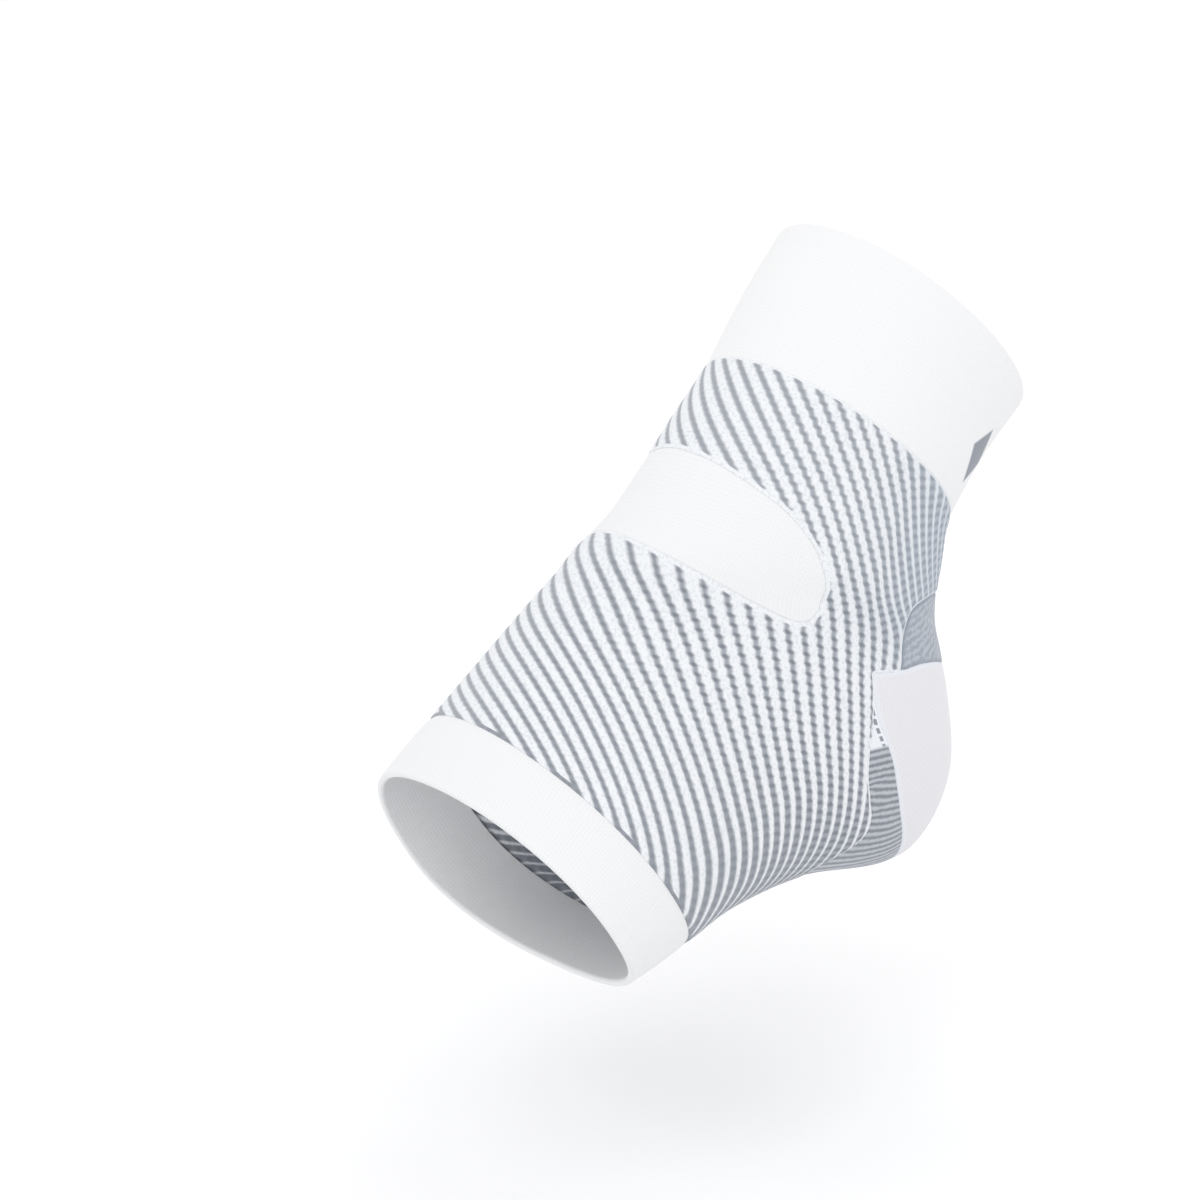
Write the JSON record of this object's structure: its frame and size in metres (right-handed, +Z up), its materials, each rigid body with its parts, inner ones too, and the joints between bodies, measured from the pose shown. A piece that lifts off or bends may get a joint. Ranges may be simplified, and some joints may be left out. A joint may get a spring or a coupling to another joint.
{
  "type": "arch support sleeve",
  "caption": "Open-toed knitted arch and ankle support sleeve with slanting ribs, a plain ankle cuff, a toe band and a shaped heel pocket, in its worn form.",
  "frame": {"origin": "centre of the ankle joint that the sleeve is worn round", "axes": "toes towards -Y, outer side of the left foot towards +X, +Z up"},
  "size_m": [0.084, 0.1665, 0.1684],
  "materials": {
    "plain_knit": "fine white jersey knit, matte",
    "ribbed_knit": "white knit with slanting grey ribs, matte",
    "grey_knit": "dense grey knit with fine white lines, matte",
    "heel_knit": "smooth off-white knit, matte"
  },
  "bodies": {
    "root": {"toe_band": "plain_knit", "ribbed_sleeve": "ribbed_knit", "instep_patch": "plain_knit", "achilles_panel": "grey_knit", "heel_pocket": "heel_knit", "heel_gusset": "grey_knit", "ankle_cuff": "plain_knit"}
  },
  "joints": []
}
